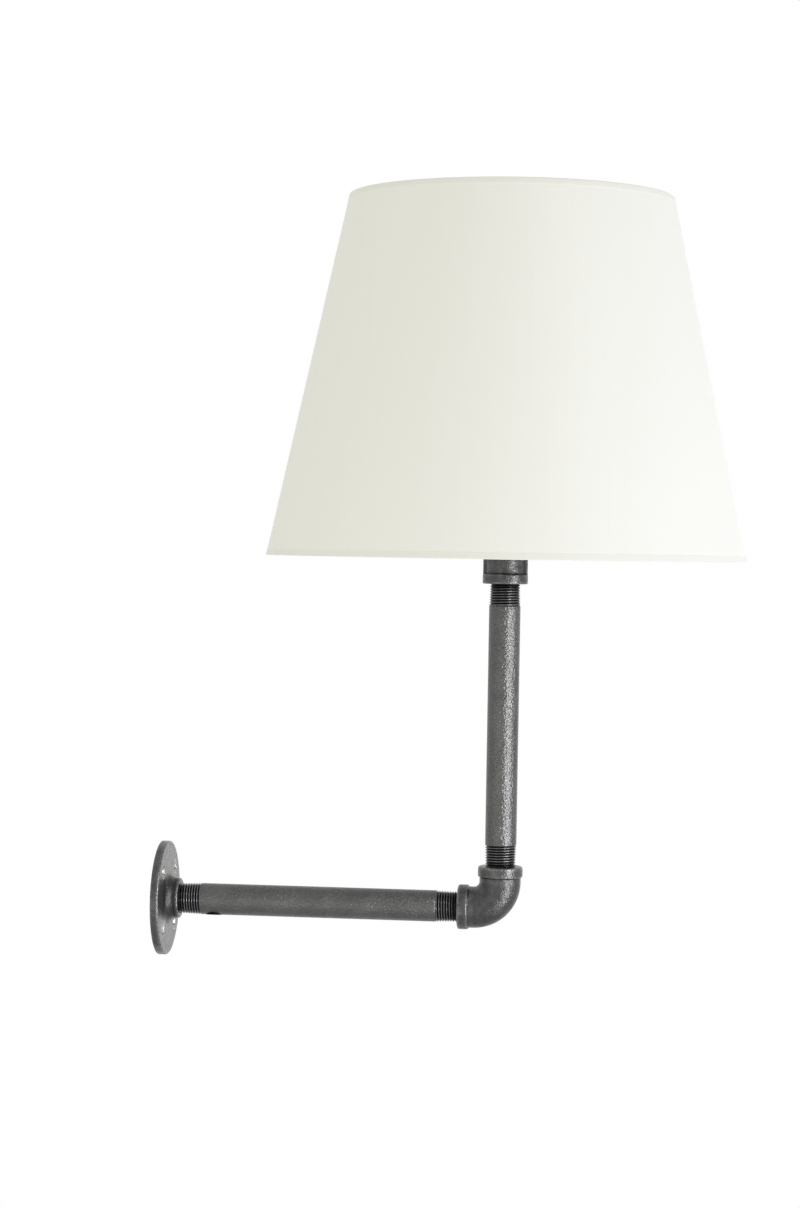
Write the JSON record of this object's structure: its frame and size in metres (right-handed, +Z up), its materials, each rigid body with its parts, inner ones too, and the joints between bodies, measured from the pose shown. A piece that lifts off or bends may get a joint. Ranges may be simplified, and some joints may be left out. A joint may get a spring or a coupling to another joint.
{
  "type": "wall lamp",
  "caption": "Industrial wall lamp of threaded pipe: round flange, level arm, elbow and riser under a tapered ivory fabric shade on a harp.",
  "frame": {"origin": "centre of the wall flange's back face", "axes": "+X out of the wall along the arm, +Z up along the riser, +Y completes a right-handed frame"},
  "size_m": [0.402, 0.33, 0.5293],
  "materials": {
    "dark_pipe_finish": "dark grey coating on steel pipe, satin with a fine grain",
    "dark_cast_finish": "dark grey coating on malleable iron, rough cast grain",
    "bush_rubber": "black rubber, dull",
    "zinc_steel": "zinc plated steel",
    "nickel_wire": "nickel plated steel, satin",
    "socket_brass": "brass plated, lightly brushed",
    "copper_shell": "bare copper alloy",
    "liner_fibre": "vulcanised fibre board",
    "phenolic": "black moulded phenolic",
    "knob_plastic": "black moulded plastic",
    "bulb_solder": "tinned contact",
    "bulb_collar_glass": "black glass insulator",
    "bulb_metal": "bright aluminium",
    "frosted_glass": "frosted white glass",
    "shade_fabric": "ivory woven fabric, satin",
    "shade_styrene": "white styrene backing sheet",
    "trim_fabric": "ivory fabric folded over the rim"
  },
  "bodies": {
    "wall_plate": {"wall_flange": "dark_cast_finish"},
    "arm": {"arm_pipe": "dark_pipe_finish", "cord_bush": "bush_rubber", "elbow": "dark_cast_finish"},
    "head": {"riser_pipe": "dark_pipe_finish", "coupling": "dark_cast_finish", "reducing_bushing": "dark_cast_finish", "lamp_nipple": "zinc_steel", "lock_nut": "zinc_steel", "harp_saddle": "nickel_wire", "harp_bow": "nickel_wire", "socket_cap": "socket_brass", "cap_set_screw": "zinc_steel", "socket_shell": "socket_brass", "fibre_liner": "liner_fibre", "switch_body": "phenolic", "terminal_screw_live": "socket_brass", "terminal_screw_neutral": "zinc_steel", "centre_contact": "socket_brass", "screw_shell": "copper_shell"},
    "switch": {"switch_shaft": "socket_brass", "switch_knob": "knob_plastic"},
    "ferrule_left": {"harp_ferrule_left": "nickel_wire"},
    "ferrule_right": {"harp_ferrule_right": "nickel_wire"},
    "bulb": {"bulb_tip": "bulb_solder", "bulb_collar": "bulb_collar_glass", "bulb_cap": "bulb_metal", "bulb_glass": "frosted_glass"},
    "shade": {"swivel_stud": "nickel_wire", "shade_spider": "nickel_wire", "bottom_ring": "nickel_wire", "shade_cover": "shade_fabric", "shade_lining": "shade_styrene", "top_trim": "trim_fabric", "bottom_trim": "trim_fabric"},
    "finial": {"finial": "nickel_wire"}
  },
  "joints": [
    {"name": "arm_swing", "type": "hinge", "parent": "wall_plate", "child": "arm", "pos_m": [0, 0, 0], "axis": [1, 0, 0], "range_deg": [-90, 90]},
    {"name": "riser_swivel", "type": "hinge", "parent": "arm", "child": "head", "pos_m": [0.237, 0, 0], "axis": [0, 0, 1], "range_deg": [-180, 180]},
    {"name": "switch_turn", "type": "hinge", "parent": "head", "child": "switch", "pos_m": [0.237, 0, 0.2981], "axis": [1, 0, 0], "continuous": true},
    {"name": "ferrule_left_lift", "type": "slide", "parent": "head", "child": "ferrule_left", "axis": [0, 0, 1], "range_m": [0, 0.014]},
    {"name": "ferrule_right_lift", "type": "slide", "parent": "head", "child": "ferrule_right", "axis": [0, 0, 1], "range_m": [0, 0.014]},
    {"name": "bulb_turn", "type": "hinge", "parent": "head", "child": "bulb", "pos_m": [0.237, 0, 0.32], "axis": [0, 0, 1], "continuous": true},
    {"name": "shade_turn", "type": "hinge", "parent": "head", "child": "shade", "pos_m": [0.237, 0, 0.468], "axis": [0, 0, 1], "continuous": true},
    {"name": "finial_turn", "type": "hinge", "parent": "shade", "child": "finial", "pos_m": [0.237, 0, 0.472], "axis": [0, 0, 1], "continuous": true}
  ]
}
